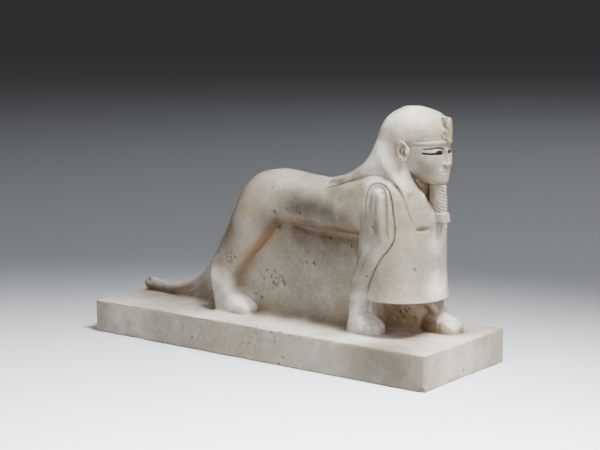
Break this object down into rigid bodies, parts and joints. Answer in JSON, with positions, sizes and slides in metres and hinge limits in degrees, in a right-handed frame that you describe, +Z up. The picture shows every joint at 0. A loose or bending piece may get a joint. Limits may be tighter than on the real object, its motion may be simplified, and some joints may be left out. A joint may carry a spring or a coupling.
{
  "type": "sphinx statue",
  "caption": "Carved limestone statue of a striding sphinx, a lion with a king's head in a smooth headcloth, plaited beard and apron, on its own oblong plinth.",
  "frame": {"origin": "centre of the plinth's underside", "axes": "+X along the plinth towards the head, +Y to the animal's left, +Z up"},
  "size_m": [0.3, 0.104, 0.1794],
  "materials": {
    "limestone": "smoothed pale limestone with tan patina in the recesses, small pores and worn edges"
  },
  "bodies": {
    "root": {"sphinx_statue": "limestone"}
  },
  "joints": []
}
